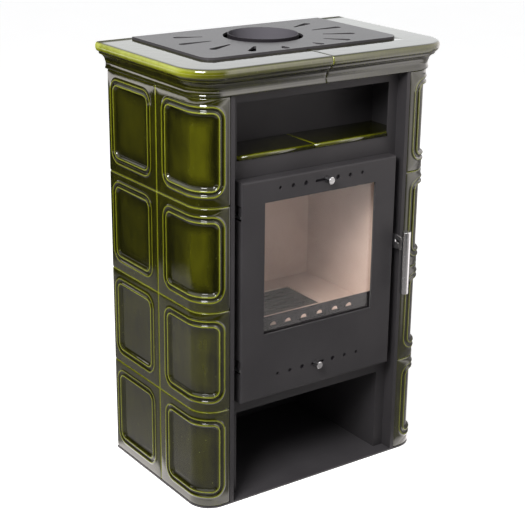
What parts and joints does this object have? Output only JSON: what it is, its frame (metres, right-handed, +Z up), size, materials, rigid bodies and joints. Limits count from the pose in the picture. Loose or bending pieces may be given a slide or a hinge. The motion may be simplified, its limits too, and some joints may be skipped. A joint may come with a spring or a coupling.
{
  "type": "tiled wood stove",
  "caption": "Upright wood stove clad in green glazed relief tiles with a moulded cornice, glazed door, warming niche, open wood store and top flue outlet.",
  "frame": {"origin": "centre of the footprint of the tiled body, on the floor", "axes": "+Z up, the door and handle face -Y, +X to the viewer's right when facing the door"},
  "size_m": [0.658, 0.4102, 0.97],
  "materials": {
    "green_glaze": "thick glossy olive-green glaze, thinner and lighter on raised beads",
    "shelf_glaze": "glossy glaze with a pale rounded front edge",
    "body_steel": "satin charcoal heat-resistant paint",
    "plate_steel": "satin charcoal heat-resistant paint",
    "heat_steel": "matt dark grey heat-resistant paint",
    "bare_steel": "zinc-plated sheet steel",
    "bright_steel": "fine brushed stainless steel",
    "window_glass": "clear glass-ceramic pane",
    "seal_rope": "black woven glass-fibre rope and tape",
    "fire_brick": "matt light brown pressed vermiculite",
    "cast_iron": "raw grey cast iron"
  },
  "bodies": {
    "stove": {"ash_pan": "heat_steel", "back_sheet": "body_steel", "baffle": "fire_brick", "corner_tile_row_1_left": "green_glaze", "corner_tile_row_1_right": "green_glaze", "corner_tile_row_2_left": "green_glaze", "corner_tile_row_2_right": "green_glaze", "corner_tile_row_3_left": "green_glaze", "corner_tile_row_3_right": "green_glaze", "corner_tile_row_4_left": "green_glaze", "corner_tile_row_4_right": "green_glaze", "cornice_left": "green_glaze", "cornice_right": "green_glaze", "firebox": "heat_steel", "floor_plate": "plate_steel", "flue_collar": "heat_steel", "front_panel": "body_steel", "front_post_left": "body_steel", "front_post_right": "body_steel", "grate": "cast_iron", "hearth_brick_back": "fire_brick", "hearth_brick_front": "fire_brick", "hearth_brick_left": "fire_brick", "hearth_brick_right": "fire_brick", "hinge_brackets": "bare_steel", "lining_back": "fire_brick", "lining_left": "fire_brick", "lining_right": "fire_brick", "log_guard": "heat_steel", "niche_liner": "body_steel", "shelf_tile_left": "shelf_glaze", "shelf_tile_right": "shelf_glaze", "side_sheet_left": "body_steel", "side_sheet_right": "body_steel", "side_tile_row_1_left": "green_glaze", "side_tile_row_1_right": "green_glaze", "side_tile_row_2_left": "green_glaze", "side_tile_row_2_right": "green_glaze", "side_tile_row_3_left": "green_glaze", "side_tile_row_3_right": "green_glaze", "side_tile_row_4_left": "green_glaze", "side_tile_row_4_right": "green_glaze", "smoke_box": "heat_steel", "store_liner": "body_steel", "top_plate": "plate_steel"},
    "door": {"door_frame": "body_steel", "door_glass": "window_glass", "window_seal": "seal_rope", "door_rope_seal": "seal_rope", "glass_clips": "bare_steel", "slide_guides": "bare_steel", "latch_bolt": "bare_steel"},
    "handle": {"handle_bracket": "bright_steel", "handle_tube": "bright_steel", "handle_cap": "bright_steel"},
    "secondary_slide": {"secondary_air_slide": "heat_steel", "secondary_air_knob": "bright_steel"},
    "primary_slide": {"primary_air_slide": "heat_steel", "primary_air_knob": "bright_steel"}
  },
  "joints": [
    {"name": "door_hinge", "type": "hinge", "parent": "stove", "child": "door", "pos_m": [-0.196, -0.172, 0.474], "axis": [0, 0, -1], "range_deg": [0, 105]},
    {"name": "handle_lift", "type": "hinge", "parent": "door", "child": "handle", "pos_m": [0.2055, -0.172, 0.524], "axis": [-1, 0, 0], "range_deg": [0, 28]},
    {"name": "secondary_air_travel", "type": "slide", "parent": "door", "child": "secondary_slide", "axis": [1, 0, 0], "range_m": [-0.0275, 0.0025]},
    {"name": "primary_air_travel", "type": "slide", "parent": "door", "child": "primary_slide", "axis": [1, 0, 0], "range_m": [-0.0085, 0.0215]}
  ]
}
